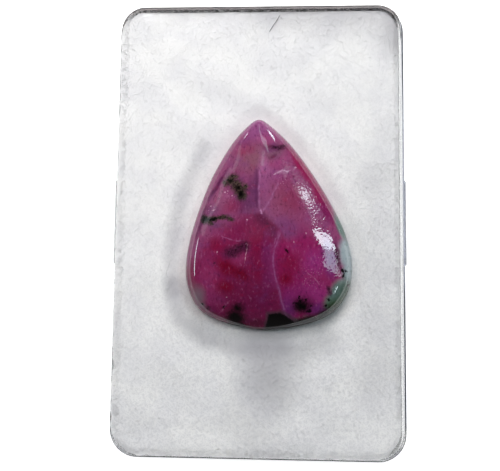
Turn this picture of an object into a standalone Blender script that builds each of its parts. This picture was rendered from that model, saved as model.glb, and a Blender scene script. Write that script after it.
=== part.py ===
"""A pear-shaped ruby in zoisite cabochon, lying on a fibre pad in a small clear tray.

Metres, +Z up. The origin is on the surface the tray stands on, under its middle.
+Y runs along the tray, towards the stone's tip.
"""

import math

import bmesh
import bpy
from mathutils import Vector

MM = 0.001

# The tray, moulded in one piece: an outer ledge for a lid, and a thin lip standing above it
TRAY_WIDTH = 46.5 * MM
TRAY_LENGTH = 73.0 * MM
TRAY_HEIGHT = 12.0 * MM
CORNER_RADIUS = 4.4 * MM
CORNER_STEPS = 6
LEDGE_WIDTH = 0.55 * MM
LIP_WIDTH = 0.5 * MM
LIP_HEIGHT = 1.6 * MM
FLOOR = 1.2 * MM
DRAFT = 0.25 * MM
FOOT_EDGE = 0.5 * MM
SMALL_EDGE = 0.12 * MM

# The finger grips at the middle of the long sides
GRIP_LENGTH = 13.6 * MM
GRIP_PROUD = 0.3 * MM
GRIP_HEIGHT = 2.4 * MM
GRIP_MIDDLE_Y = 0.7 * MM

# The pad, which fills the tray and bulges a little in the middle
GAP = 0.3 * MM
PAD_EDGE_DROP = 0.8 * MM
PAD_CROWN = 0.7 * MM
PAD_SHOULDER = 1.2 * MM
PAD_CUTS = (23, 37, 0)
DENT_MARGIN = 2.6 * MM
DENT_SLOPE = 4.0 * MM

# The stone: a flat back, a steep side that rounds over a shoulder, and a low dome
STONE_SINK = 0.4 * MM
BACK_BEVEL = 0.45 * MM
GIRDLE_HEIGHT = 0.9 * MM
GIRDLE_LEVEL = -0.5
SHOULDER_INSET = 2.4 * MM
SHOULDER_RISE = 2.95 * MM
DOME_RISE = 1.9 * MM
DOME_SLOPE = 0.34
STONE_MIDDLE = Vector((1.5 * MM, -2.0 * MM))
TIP_REACH = 9.0 * MM
TIP_SHARE = 0.5
FOOT_MIDDLE = Vector((0.3 * MM, -16.2 * MM))
FOOT_REACH = 11.5 * MM
FOOT_SHARE = 0.22
FOOT_RISE = 1.2 * MM
FOOT_SLOPE = 0.55
STONE_CUTS = (15, 15, 7)

# The stone's outline in the tray's millimetres, clockwise from the tip
OUTLINE_MM = (
    (-0.1, 16.75),
    (1.9, 15.75),
    (4.8, 13.0),
    (7.7, 9.3),
    (10.9, 4.2),
    (13.5, -1.0),
    (14.7, -6.0),
    (14.0, -10.3),
    (11.3, -13.8),
    (6.6, -15.6),
    (1.0, -16.25),
    (-4.6, -15.4),
    (-8.9, -13.4),
    (-11.0, -9.6),
    (-11.2, -5.2),
    (-10.0, 0.4),
    (-7.6, 7.0),
    (-4.7, 12.3),
    (-2.2, 15.35),
)
OUTLINE_STEPS = 24

PAD_TOP = TRAY_HEIGHT - PAD_EDGE_DROP + PAD_CROWN
STONE_BOTTOM = PAD_TOP - STONE_SINK


def start_scene():
    for old in list(bpy.data.objects):
        bpy.data.objects.remove(old)


def collection(name):
    made = bpy.data.collections.new(name)
    bpy.context.scene.collection.children.link(made)
    return made


def material(name, colour, roughness, transmission=0.0, ior=1.5):
    made = bpy.data.materials.new(name)
    made.use_nodes = True
    shader = made.node_tree.nodes["Principled BSDF"]
    shader.inputs["Base Color"].default_value = (*colour, 1.0)
    shader.inputs["Metallic"].default_value = 0.0
    shader.inputs["Roughness"].default_value = roughness
    shader.inputs["Transmission Weight"].default_value = transmission
    shader.inputs["IOR"].default_value = ior
    made.diffuse_color = (*colour, 1.0)
    return made


def finished(bm, name, group, finish=None, smooth_angle=35.0):
    """Turns a bmesh into a named object in its collection, shaded smooth but for its sharp edges."""
    mesh = bpy.data.meshes.new(name)
    bmesh.ops.recalc_face_normals(bm, faces=bm.faces)
    bm.to_mesh(mesh)
    bm.free()
    mesh.shade_smooth()
    mesh.set_sharp_from_angle(angle=math.radians(smooth_angle))
    made = bpy.data.objects.new(name, mesh)
    group.objects.link(made)
    if finish:
        mesh.materials.append(finish)
    return made


def block(bm, width, length, bottom, top):
    """A box from the bottom to the top height, in the middle of the tray."""
    made = bmesh.ops.create_cube(bm, size=1.0)["verts"]
    bmesh.ops.scale(bm, verts=made, vec=(width, length, top - bottom))
    bmesh.ops.translate(bm, verts=made, vec=(0, 0, (bottom + top) / 2))
    return made


def bevelled(bm, edges, offset, segments):
    bmesh.ops.bevel(
        bm,
        geom=edges,
        offset=offset,
        offset_type="OFFSET",
        segments=segments,
        profile=0.5,
        affect="EDGES",
        clamp_overlap=True,
        material=-1,
    )


def upright_edges(bm):
    return [e for e in bm.edges if abs(e.verts[0].co.z - e.verts[1].co.z) > MM]


def level_edges(bm, low, high):
    return [e for e in bm.edges if all(low <= v.co.z <= high for v in e.verts)]


def face_at_top(bm):
    """The one level face that is highest and largest."""
    level = [f for f in bm.faces if f.normal.z > 0.99]
    return max(level, key=lambda f: (round(f.calc_center_median().z, 6), f.calc_area()))


def pushed(bm, face, depth, draft):
    """Extrudes a level face by depth, and draws the new face in by the mould's draft."""
    made = bmesh.ops.extrude_discrete_faces(bm, faces=[face])["faces"][0]
    reach = [max(abs(v.co[i]) for v in made.verts) for i in (0, 1)]
    bmesh.ops.translate(bm, verts=made.verts, vec=(0, 0, depth))
    bmesh.ops.scale(bm, verts=made.verts, vec=(1 - draft / reach[0], 1 - draft / reach[1], 1))
    return made


def tray(group, cutters, finish):
    bm = bmesh.new()
    ledge = TRAY_HEIGHT - LIP_HEIGHT
    block(bm, TRAY_WIDTH, TRAY_LENGTH, 0, ledge)
    bevelled(bm, upright_edges(bm), CORNER_RADIUS, CORNER_STEPS)
    foot = [v for v in bm.verts if v.co.z < ledge / 2]
    narrower = (1 - 2 * DRAFT / TRAY_WIDTH, 1 - 2 * DRAFT / TRAY_LENGTH, 1)
    bmesh.ops.scale(bm, verts=foot, vec=narrower)
    bm.normal_update()
    top = face_at_top(bm)
    bmesh.ops.inset_region(bm, faces=[top], thickness=LEDGE_WIDTH, use_even_offset=True)
    top = pushed(bm, top, LIP_HEIGHT, 0)
    bmesh.ops.inset_region(bm, faces=[top], thickness=LIP_WIDTH, use_even_offset=True)
    pushed(bm, top, FLOOR - TRAY_HEIGHT, DRAFT)
    bevelled(bm, level_edges(bm, 0, 0), FOOT_EDGE, 2)
    bevelled(bm, level_edges(bm, ledge, TRAY_HEIGHT), SMALL_EDGE, 1)
    made = finished(bm, "clear_tray", group, finish)
    for side in (-1, 1):
        join(made, grip(side, ledge, cutters))
    return made


def grip(side, ledge, cutters):
    """A low rounded block that stands proud of one long side, just under the ledge's edge."""
    bm = bmesh.new()
    inner = TRAY_WIDTH / 2 - LEDGE_WIDTH
    outer = TRAY_WIDTH / 2 + GRIP_PROUD
    top = ledge - SMALL_EDGE
    made = block(bm, outer - inner, GRIP_LENGTH, top - GRIP_HEIGHT, top)
    rounded = [e for e in bm.edges if all(v.co.x * side > 0 for v in e.verts)]
    bevelled(bm, rounded, GRIP_PROUD * 0.9, 2)
    place = (side * (inner + outer) / 2, GRIP_MIDDLE_Y, 0)
    bmesh.ops.translate(bm, verts=bm.verts, vec=place)
    made = finished(bm, "grip_left" if side < 0 else "grip_right", cutters)
    made.hide_render = True
    made.display_type = "WIRE"
    return made


def join(target, added):
    union = target.modifiers.new(added.name, "BOOLEAN")
    union.operation = "UNION"
    union.solver = "EXACT"
    union.object = added


def outline():
    """The stone's outline as a closed smooth line through its points, evenly spaced."""
    points = [Vector(p) * MM for p in OUTLINE_MM]
    count = len(points)
    line = []
    for i in range(count):
        a, b, c, d = (points[(i + k) % count] for k in (-1, 0, 1, 2))
        for step in range(OUTLINE_STEPS):
            t = step / OUTLINE_STEPS
            bend = (2 * a - 5 * b + 4 * c - d) * t * t + (3 * b - a - 3 * c + d) * t**3
            line.append((2 * b + (c - a) * t + bend) / 2)
    return line


def eased(share):
    """A share of the way from 0 to 1, held inside them and slowed at both ends."""
    held = min(max(share, 0.0), 1.0)
    return held * held * (3 - 2 * held)


class Outline:
    """Places on the stone's outline, by the share of the way round it from the tip."""

    def __init__(self):
        self.line = outline()
        self.ways = [0.0]
        for a, b in zip(self.line, self.line[1:] + self.line[:1]):
            self.ways.append(self.ways[-1] + (b - a).length)

    def at(self, share):
        way = (share % 1.0) * self.ways[-1]
        i = next(k for k in range(len(self.line)) if self.ways[k + 1] >= way)
        a, b = self.line[i], self.line[(i + 1) % len(self.line)]
        return a.lerp(b, (way - self.ways[i]) / (self.ways[i + 1] - self.ways[i]))

    def inward(self, share):
        """The direction from the outline into the stone, square to the outline."""
        step = 0.01
        along = self.at(share + step) - self.at(share - step)
        return Vector((along.y, -along.x)).normalized()

    def side(self, share):
        """The side's inset, its rise and the dome's slope above it, here along the outline.

        The side narrows towards the tip, and at the foot the dome comes down low in its place.
        """
        place = self.at(share)
        tip = max(0.0, 1 - (place - self.line[0]).length / TIP_REACH)
        foot = eased(1 - (place - FOOT_MIDDLE).length / FOOT_REACH)
        inset = SHOULDER_INSET * (1 - (1 - TIP_SHARE) * tip - (1 - FOOT_SHARE) * foot)
        rise = SHOULDER_RISE + (FOOT_RISE - SHOULDER_RISE) * foot
        return inset, rise, DOME_SLOPE + (FOOT_SLOPE - DOME_SLOPE) * foot

    def inset(self, share, depth):
        return self.at(share) + self.inward(share) * depth


def turn_round(co):
    """How far round a square of side 2 a point lies, clockwise from its +X+Y corner, 0 to 1."""
    reach = max(abs(co.x), abs(co.y))
    x, y = co.x / reach, co.y / reach
    if x > 0.999999:
        return (1 - y) / 8
    if y < -0.999999:
        return 0.25 + (1 - x) / 8
    if x < -0.999999:
        return 0.5 + (y + 1) / 8
    return 0.75 + (x + 1) / 8


def subdivided_cube(bm, cuts):
    """A cube from -1 to 1, cut into a grid of so many cuts along X, Y and Z."""
    bmesh.ops.create_cube(bm, size=2.0)
    for axis, count in enumerate(cuts):
        along = [e for e in bm.edges if abs(e.verts[0].co[axis] - e.verts[1].co[axis]) > 1.5]
        bmesh.ops.subdivide_edges(bm, edges=along, cuts=count, use_grid_fill=True)


def one_flat_face(bm, height):
    """Joins the level faces at a height to one face."""
    level = [f for f in bm.faces if all(abs(v.co.z - height) < MM / 1000 for v in f.verts)]
    bmesh.ops.dissolve_faces(bm, faces=level, use_verts=False)


def stone_side(level, inset, rise, slope):
    """Inset and height of the side at a level from -1, the back, to 1, where the dome begins."""
    if level < GIRDLE_LEVEL:
        down = (GIRDLE_LEVEL - level) / (GIRDLE_LEVEL + 1)
        return BACK_BEVEL * down * down, GIRDLE_HEIGHT * (1 - down)
    last = math.atan2(rise, inset * slope)
    turn = last * (level - GIRDLE_LEVEL) / (1 - GIRDLE_LEVEL)
    return inset * (1 - math.cos(turn)), GIRDLE_HEIGHT + rise * math.sin(turn)


def stone_place(co, edge):
    """Where a point of the subdivided cube goes on the stone."""
    reach = max(abs(co.x), abs(co.y))
    middle_height = stone_side(co.z, SHOULDER_INSET, SHOULDER_RISE, DOME_SLOPE)[1]
    if reach < 1e-6:
        place, height = STONE_MIDDLE, middle_height
    else:
        share = turn_round(co)
        inset, height = stone_side(co.z, *edge.side(share))
        height = middle_height + (height - middle_height) * reach * reach
        place = STONE_MIDDLE.lerp(edge.inset(share, inset), reach)
    if co.z > 0.999:
        height += DOME_RISE * (1 - reach * reach)
    return Vector((place.x, place.y, STONE_BOTTOM + height))


def stone(group, finish):
    bm = bmesh.new()
    subdivided_cube(bm, STONE_CUTS)
    edge = Outline()
    for v in bm.verts:
        v.co = stone_place(v.co, edge)
    one_flat_face(bm, STONE_BOTTOM)
    return finished(bm, "ruby_in_zoisite", group, finish, smooth_angle=60)


def pad(group, finish):
    bm = bmesh.new()
    subdivided_cube(bm, PAD_CUTS)
    line = outline()
    inner = LEDGE_WIDTH + LIP_WIDTH + DRAFT + GAP
    half = Vector((TRAY_WIDTH / 2 - inner, TRAY_LENGTH / 2 - inner))
    low = FLOOR + GAP
    edge_top = TRAY_HEIGHT - PAD_EDGE_DROP
    radius = CORNER_RADIUS - inner + PAD_SHOULDER
    for v in bm.verts:
        across = Vector((v.co.x * half.x, v.co.y * half.y))
        core = Vector((min(max(across.x, radius - half.x), half.x - radius),
                       min(max(across.y, radius - half.y), half.y - radius)))
        out = across - core
        if out.x and out.y:
            square = max(abs(out.x), abs(out.y))
            across = core + out * (square / out.length)
        height = low + (v.co.z + 1) / 2 * (edge_top - low)
        if v.co.z > 0.999:
            height += pad_swell(across, half, line)
        v.co = (across.x, across.y, height)
    one_flat_face(bm, low)
    return finished(bm, "fibre_pad", group, finish)


def pad_swell(place, half, line):
    """The pad's height above its edge: a flat crown, with a dent where the stone lies."""
    to_edge = min(half.x - abs(place.x), half.y - abs(place.y))
    rise = min(max(to_edge / (2 * PAD_SHOULDER), 0.0), 1.0)
    crown = PAD_CROWN * (1 - (1 - rise) ** 2)
    floor = STONE_BOTTOM - GAP - (TRAY_HEIGHT - PAD_EDGE_DROP)
    away = (to_outline(place, line) - DENT_MARGIN) / DENT_SLOPE
    share = min(max(away, 0.0), 1.0)
    return min(crown, floor + (PAD_CROWN - floor) * share * share * (3 - 2 * share))


def to_outline(place, line):
    """How far a place is outside the stone's outline, and 0 inside it."""
    inside = False
    for a, b in zip(line, line[1:] + line[:1]):
        if (a.y > place.y) != (b.y > place.y):
            if place.x < a.x + (place.y - a.y) / (b.y - a.y) * (b.x - a.x):
                inside = not inside
    return 0.0 if inside else min((place - p).length for p in line)


def build():
    start_scene()
    group = collection("ruby_in_zoisite_in_tray")
    cutters = collection("cutters")
    clear = material("clear polystyrene", (0.92, 0.94, 0.95), 0.06, 0.9, 1.59)
    fibre = material("white fibre pad", (0.80, 0.80, 0.79), 0.95)
    gem = material("polished ruby in zoisite", (0.30, 0.03, 0.12), 0.12, 0.0, 1.74)
    tray(group, cutters, clear)
    pad(group, fibre)
    stone(group, gem)


build()
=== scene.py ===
"""The looks of a pear-shaped ruby in zoisite cabochon on a fibre pad in a clear tray.

Metres, +Z up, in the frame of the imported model: +Y runs along the tray, towards the stone's tip.
"""

import math

import bmesh
import bpy
import numpy as np
from mathutils import Matrix, Quaternion, Vector


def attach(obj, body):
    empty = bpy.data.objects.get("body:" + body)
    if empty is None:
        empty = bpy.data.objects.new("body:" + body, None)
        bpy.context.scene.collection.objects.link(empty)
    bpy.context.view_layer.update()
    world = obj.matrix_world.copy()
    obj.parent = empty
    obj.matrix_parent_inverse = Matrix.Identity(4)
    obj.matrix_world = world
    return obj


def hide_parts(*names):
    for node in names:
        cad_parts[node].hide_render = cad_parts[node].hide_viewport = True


MM = 0.001

# ---------------------------------------------------------------- the tray
TRAY_WIDTH = 46.5 * MM
TRAY_LENGTH = 73.0 * MM
TRAY_HEIGHT = 12.0 * MM
CORNER_RADIUS = 4.4 * MM
CORNER_STEPS = 12
LEDGE_WIDTH = 0.55 * MM
LIP_WIDTH = 0.5 * MM
LIP_HEIGHT = 1.6 * MM
FLOOR = 1.2 * MM
DRAFT = 0.25 * MM
FOOT_EDGE = 0.5 * MM
SMALL_EDGE = 0.12 * MM
GRIP_LENGTH = 13.6 * MM
GRIP_PROUD = 0.3 * MM
GRIP_ROUNDING = 0.9 * GRIP_PROUD
GRIP_HEIGHT = 2.4 * MM
GRIP_MIDDLE_Y = 0.7 * MM

# ---------------------------------------------------------------- the stone's form
STONE_BOTTOM = 11.5 * MM
BACK_BEVEL = 0.45 * MM
GIRDLE_HEIGHT = 0.9 * MM
GIRDLE_LEVEL = -0.5
SHOULDER_INSET = 2.4 * MM
SHOULDER_RISE = 2.95 * MM
DOME_RISE = 1.9 * MM
DOME_SLOPE = 0.34
STONE_MIDDLE = np.array([1.5 * MM, -2.0 * MM])
TIP_REACH = 9.0 * MM
TIP_SHARE = 0.5
FOOT_MIDDLE = np.array([0.3 * MM, -16.2 * MM])
FOOT_REACH = 11.5 * MM
FOOT_SHARE = 0.22
FOOT_RISE = 1.2 * MM
FOOT_SLOPE = 0.55
STONE_CUTS = (191, 191, 56)
OUTLINE_MM = (
    (-0.1, 16.75),
    (1.9, 15.75),
    (4.8, 13.0),
    (7.7, 9.3),
    (10.9, 4.2),
    (13.5, -1.0),
    (14.7, -6.0),
    (14.0, -10.3),
    (11.3, -13.8),
    (6.6, -15.6),
    (1.0, -16.25),
    (-4.6, -15.4),
    (-8.9, -13.4),
    (-11.0, -9.6),
    (-11.2, -5.2),
    (-10.0, 0.4),
    (-7.6, 7.0),
    (-4.7, 12.3),
    (-2.2, 15.35),
)
OUTLINE_STEPS = 24

# The hand lapping leaves the dome a little uneven: how far apart its waves are, and how high
LAPPING = (6.0 * MM, 0.012 * MM)

# ---------------------------------------------------------------- the pad's form
PAD_GAP = 0.05 * MM
PAD_CORNER = CORNER_RADIUS - LEDGE_WIDTH - LIP_WIDTH
PAD_EDGE_TOP = 11.88 * MM
PAD_CROWN = 0.20 * MM
PAD_SHOULDER = 1.1 * MM
PAD_CUTS = (129, 209, 9)
# Under the stone, and close round it, where the wadding hugs its side
PAD_REST = 0.03 * MM
PAD_HUG = 0.16 * MM
HUG_REACH = 0.5 * MM
DENT_REACH = 3.2 * MM
# Waves again, as how far apart and how high: on the top, and in the side, which never bulges out
PAD_LUMPS = (8.0 * MM, 0.045 * MM)
PAD_NAP = (0.9 * MM, 0.006 * MM)
PAD_HOLLOWS = (3.0 * MM, 0.06 * MM)
HOLLOWS_SINK = 0.05 * MM
# The lap over the tray's lip, on the left and near sides
LAP_RISE = 0.24 * MM
LAP_REACH = 0.55 * MM
LAP_REACH_NEAR = -0.15 * MM
LAP_TURN = 0.04 * MM
LAP_WAVES = (1.7 * MM, 0.05 * MM)
LAP_RAMP = 4.5 * MM
LAP_CLEARANCE = 0.02 * MM
# Behind the far wall the pad sinks
FAR_DROP = 0.85 * MM
FAR_RAMP = 0.7 * MM
# Where round a corner the lap and the far drop begin, and over how much of the turn they grow
LAP_FROM, LAP_OVER = 0.7, 0.3
FAR_FROM, FAR_OVER = 0.5, 0.4

# ---------------------------------------------------------------- the fibres
FIBRE_POINTS = 5
FIBRE_RADIUS = 0.010 * MM
# How far a fibre turns as it goes, in radians, over the whole of it and at each step
FIBRE_CURL = 0.9
FIBRE_WANDER = 0.22
# The loose ones on the top. Pairs are the least and the most, and girths are in shares of the
# radius
TOP_FIBRES = 10500
TOP_LAYERS = 4
TOP_MARGIN = 0.3 * MM
TOP_LENGTHS_MM = (0.4, 1.5)
TOP_LIFTS_MM = (-0.012, 0.030)
TOP_ROOT = -0.02 * MM
TOP_END_LIFTS_MM = (-0.02, 0.10)
TOP_GIRTHS = (0.6, 1.3)
STONE_CLEARANCE = 0.08 * MM
# The fuzz along the edge, in the same terms. Its reach is how far it may stick out on each side
EDGE_FIBRES = 7000
EDGE_INSETS_MM = (0.0, 0.9)
EDGE_SPREAD = 0.9
EDGE_LENGTHS_MM = (0.3, 1.1)
EDGE_LIFTS_MM = (0.0, 0.20)
EDGE_LIFT_CURVE = 1.5
EDGE_GIRTHS = (0.8, 1.8)
EDGE_REACH = 0.22 * MM
EDGE_REACH_LEFT = 0.60 * MM
EDGE_REACH_NEAR = 0.35 * MM
EDGE_REACH_FAR = -0.9 * EDGE_REACH
LIP_CLEARANCE = 0.03 * MM
LIP_BEFORE = 0.25 * MM
LIP_OVER = 0.3 * MM
# The stray dark one, as the points that it runs through from above
HAIR_MM = ((3.2, 34.45), (2.6, 33.35), (2.0, 32.45), (1.4, 31.5))
HAIR_POINTS = 15
HAIR_RADIUS = 0.045 * MM
HAIR_LIFT = 0.09 * MM
HAIR_ARCH = 0.12 * MM

# ---------------------------------------------------------------- the view
CAMERA_PLACE = Vector((4.4, -12.05, 122.0)) * MM
CAMERA_AIM = Vector((-1.3, -1.6, 12.0)) * MM
CAMERA_UP = Vector((-0.0115, 1.0, 0.0))
FOCAL_PX = 700.0
FRAME_PX = 500.0
SENSOR_WIDTH = 36.0

# ---------------------------------------------------------------- the light
# The room is graded by the way that is looked: BRIGHT_SIDE is where its walls are brightest,
# WALL_TOP how far up they give way to the ceiling, and FAR_PANEL where a soft panel hangs
BRIGHT_SIDE = (-0.80, 0.60, 0.0)
WALL_FAR = 0.28
WALL_NEAR = 0.03
WALL_TURN = 0.9
WALL_TOP = (0.80, 0.40)
CEILING = 0.02
FAR_PANEL = (0.0, 0.41, 0.91)
FAR_PANEL_EDGE = (0.90, 0.985)
FAR_PANEL_LIGHT = 0.20
FLOOR_REACH = 1.5
FLOOR_DROP = 0.05 * MM
FLOOR_GLOW = 0.85
# Name, azimuth, elevation and roll in degrees, distance, width and height in metres, and radiance.
# The polish mirrors each window as a highlight
WINDOWS = (
    ("window_right", 23.5, 50.7, -22, 0.4, 0.060, 0.066, 10.5),
    ("window_right_dim", 6.0, 54.0, -20, 0.4, 0.108, 0.050, 3.4),
    ("window_far_right", 40.0, 46, -10, 0.4, 0.020, 0.036, 9.5),
    ("window_far_right_dim", 41, 46.5, 0, 0.4, 0.060, 0.066, 0.9),
    ("window_far", 57, 35, 0, 0.4, 0.019, 0.100, 12.0),
    ("window_far_dim", 73, 50, 0, 0.4, 0.110, 0.022, 2.2),
    ("window_left", 173, 38.5, 17, 0.4, 0.118, 0.036, 9.5),
    ("window_far_left", 131, 38, 0, 0.4, 0.022, 0.070, 7.0),
    ("window_far_left_dim", 146, 42.5, 0, 0.4, 0.150, 0.016, 0.7),
    ("glint_near_right", -25.4, 54.4, 0, 0.4, 0.030, 0.004, 60.0),
)
WINDOW_TINT = (0.80, 0.94, 1.0)
# Broad soft lights, in the same terms, that the polish doesn't mirror, so the stone's colour
# stays deep
SOFT_LIGHTS = (
    ("key_far", 79, 31, 0, 0.4, 0.20, 0.20, 8.1),
    ("fill_right", 22, 34, 0, 0.4, 0.20, 0.20, 0.8),
    ("pool_far_left", 132, 62, 0, 0.13, 0.07, 0.07, 4.3),
)
SOFT_TINT = (1.0, 0.957, 0.950)

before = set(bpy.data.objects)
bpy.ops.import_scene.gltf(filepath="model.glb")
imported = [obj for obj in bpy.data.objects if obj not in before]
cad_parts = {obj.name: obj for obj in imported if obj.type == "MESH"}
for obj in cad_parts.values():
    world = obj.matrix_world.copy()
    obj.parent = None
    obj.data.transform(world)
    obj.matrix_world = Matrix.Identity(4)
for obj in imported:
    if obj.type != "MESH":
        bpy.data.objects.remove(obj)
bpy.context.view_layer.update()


# ================================================================ shapes


def subdivided_cube(bm, cuts, bottom=True):
    """A cube from -1 to 1, cut into a grid of so many cuts along X, Y and Z."""
    bmesh.ops.create_cube(bm, size=2.0)
    if not bottom:
        under = [f for f in bm.faces if f.normal.z < -0.9]
        bmesh.ops.delete(bm, geom=under, context="FACES")
    for axis, count in enumerate(cuts):
        along = [e for e in bm.edges if abs(e.verts[0].co[axis] - e.verts[1].co[axis]) > 1.5]
        bmesh.ops.subdivide_edges(bm, edges=along, cuts=count, use_grid_fill=True)


def to_scene(name, data):
    made = bpy.data.objects.new(name, data)
    bpy.context.scene.collection.objects.link(made)
    return made


def to_object(bm, name):
    mesh = bpy.data.meshes.new(name)
    bm.to_mesh(mesh)
    bm.free()
    return to_scene(name, mesh)


def vertex_values(mesh, kind):
    """Each vertex's place, "co", or its normal, "normal"."""
    values = np.empty(len(mesh.vertices) * 3)
    mesh.vertices.foreach_get(kind, values)
    return values.reshape(-1, 3)


def move_points(mesh, co):
    mesh.vertices.foreach_set("co", np.asarray(co, np.float32).ravel())
    mesh.update()


def ripples(places, waves, seed, count=28):
    """A smooth random height at these places, from waves in every direction. They are given by
    how far apart they are and how high."""
    apart, high = waves
    rng = np.random.default_rng(seed)
    total = np.zeros(len(places))
    for _ in range(count):
        way = rng.normal(size=3)
        way *= 2 * math.pi / (np.linalg.norm(way) * apart * rng.uniform(0.7, 1.4))
        total += np.sin(places @ way + rng.uniform(0, 2 * math.pi))
    return high * (total / math.sqrt(count / 2))


def eased(share):
    share = np.clip(share, 0.0, 1.0)
    return share * share * (3 - 2 * share)


class Outline:
    """The stone's outline from above, by the share of the way round it from the tip, clockwise."""

    def __init__(self):
        points = np.array(OUTLINE_MM) * MM
        a, b, c, d = (np.roll(points, shift, axis=0)[:, None] for shift in (1, 0, -1, -2))
        t = np.linspace(0, 1, OUTLINE_STEPS, endpoint=False)[None, :, None]
        bend = (2 * a - 5 * b + 4 * c - d) * t**2 + (3 * b - a - 3 * c + d) * t**3
        line = ((2 * b + (c - a) * t + bend) / 2).reshape(-1, 2)
        self.line = np.vstack([line, line[:1]])
        steps = np.linalg.norm(np.diff(self.line, axis=0), axis=1)
        self.ways = np.concatenate([[0.0], np.cumsum(steps)])
        turned = self.line - STONE_MIDDLE
        angles = np.arctan2(turned[:, 1], turned[:, 0])
        order = np.argsort(angles)
        self.angles = angles[order]
        self.reaches = np.linalg.norm(turned, axis=1)[order]

    def at(self, share):
        way = np.mod(share, 1.0) * self.ways[-1]
        return np.stack([np.interp(way, self.ways, self.line[:, i]) for i in (0, 1)], axis=1)

    def inward(self, share):
        step = 0.01
        along = self.at(share + step) - self.at(share - step)
        square = np.stack([along[:, 1], -along[:, 0]], axis=1)
        return square / np.linalg.norm(square, axis=1, keepdims=True)

    def side(self, share):
        """The side's inset, its rise and the dome's slope above it, here along the outline.

        The side narrows towards the tip, and at the foot the dome comes down low in its place.
        """
        to_tip = np.linalg.norm(self.at(share) - self.line[0], axis=1)
        to_foot = np.linalg.norm(self.at(share) - FOOT_MIDDLE, axis=1)
        tip = np.maximum(0.0, 1 - to_tip / TIP_REACH)
        foot = eased(1 - to_foot / FOOT_REACH)
        inset = SHOULDER_INSET * (1 - (1 - TIP_SHARE) * tip - (1 - FOOT_SHARE) * foot)
        rise = SHOULDER_RISE + (FOOT_RISE - SHOULDER_RISE) * foot
        return inset, rise, DOME_SLOPE + (FOOT_SLOPE - DOME_SLOPE) * foot

    def away(self, places):
        """About how far outside the outline places are. It is negative inside."""
        turned = places[:, :2] - STONE_MIDDLE
        angle = np.arctan2(turned[:, 1], turned[:, 0])
        reach = np.interp(angle, self.angles, self.reaches, period=2 * math.pi)
        return np.linalg.norm(turned, axis=1) - reach


# Past this, a point of the cube lies on its face
ON_FACE = 0.999


def turn_round(co):
    """How far round a square of side 2 points lie, clockwise from its +X+Y corner, 0 to 1."""
    reach = np.maximum(np.maximum(abs(co[:, 0]), abs(co[:, 1])), 1e-9)
    x, y = co[:, 0] / reach, co[:, 1] / reach
    near = 0.999999
    left = np.where(x < -near, 0.5 + (y + 1) / 8, 0.75 + (x + 1) / 8)
    lower = np.where(y < -near, 0.25 + (1 - x) / 8, left)
    return np.where(x > near, (1 - y) / 8, lower)


def stone_side(level, inset, rise, slope):
    """Inset and height of the side at a level from -1, the back, to 1, where the dome begins."""
    down = np.clip((GIRDLE_LEVEL - level) / (GIRDLE_LEVEL + 1), 0.0, 1.0)
    last = np.arctan2(rise, inset * slope)
    turn = last * np.clip((level - GIRDLE_LEVEL) / (1 - GIRDLE_LEVEL), 0.0, 1.0)
    depth = BACK_BEVEL * down * down + inset * (1 - np.cos(turn))
    return depth, GIRDLE_HEIGHT * (1 - down) + rise * np.sin(turn)


def stone_places(co, edge):
    """Where the points of the subdivided cube go on the stone."""
    reach = np.maximum(abs(co[:, 0]), abs(co[:, 1]))
    share = turn_round(co)
    middle_height = stone_side(co[:, 2], SHOULDER_INSET, SHOULDER_RISE, DOME_SLOPE)[1]
    inset, height = stone_side(co[:, 2], *edge.side(share))
    height = middle_height + (height - middle_height) * reach**2
    rim = edge.at(share) + edge.inward(share) * inset[:, None]
    place = STONE_MIDDLE + (rim - STONE_MIDDLE) * reach[:, None]
    height = height + np.where(co[:, 2] > ON_FACE, DOME_RISE * (1 - reach**2), 0.0)
    return np.column_stack([place, STONE_BOTTOM + height])


def make_stone(edge):
    bm = bmesh.new()
    subdivided_cube(bm, STONE_CUTS, bottom=False)
    open_edges = [e for e in bm.edges if e.is_boundary]
    bmesh.ops.holes_fill(bm, edges=open_edges, sides=0)
    bmesh.ops.recalc_face_normals(bm, faces=bm.faces)
    made = to_object(bm, "polished_stone")
    mesh = made.data
    places = stone_places(vertex_values(mesh, "co"), edge)
    move_points(mesh, places)
    polished = eased((places[:, 2] - STONE_BOTTOM) / GIRDLE_HEIGHT)
    relief = ripples(places, LAPPING, seed=3)
    move_points(mesh, places + vertex_values(mesh, "normal") * (relief * polished)[:, None])
    mesh.shade_smooth()
    mesh.set_sharp_from_angle(angle=math.radians(60))
    return made


def pad_half():
    inner = LEDGE_WIDTH + LIP_WIDTH + PAD_GAP
    return np.array([TRAY_WIDTH / 2 - inner, TRAY_LENGTH / 2 - inner])


def way_out(places):
    """The nearest place inside the middles of the pad's corners, and the way out from there."""
    inner = pad_half() - PAD_CORNER
    core = np.clip(places, -inner, inner)
    out = places - core
    return core, out / np.maximum(np.linalg.norm(out, axis=1, keepdims=True), 1e-12)


def pad_sides(places):
    """For places on the pad: the way out, how far it laps over the rim there, and how far it
    sinks behind the far wall. It laps over the rim on the left and near sides."""
    out = way_out(places)[1]
    lap = np.clip(np.maximum(-out[:, 0], 0) + np.maximum(-out[:, 1], 0), 0.0, 1.0)
    return out, lap, eased((out[:, 1] - FAR_FROM) / FAR_OVER)


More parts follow.
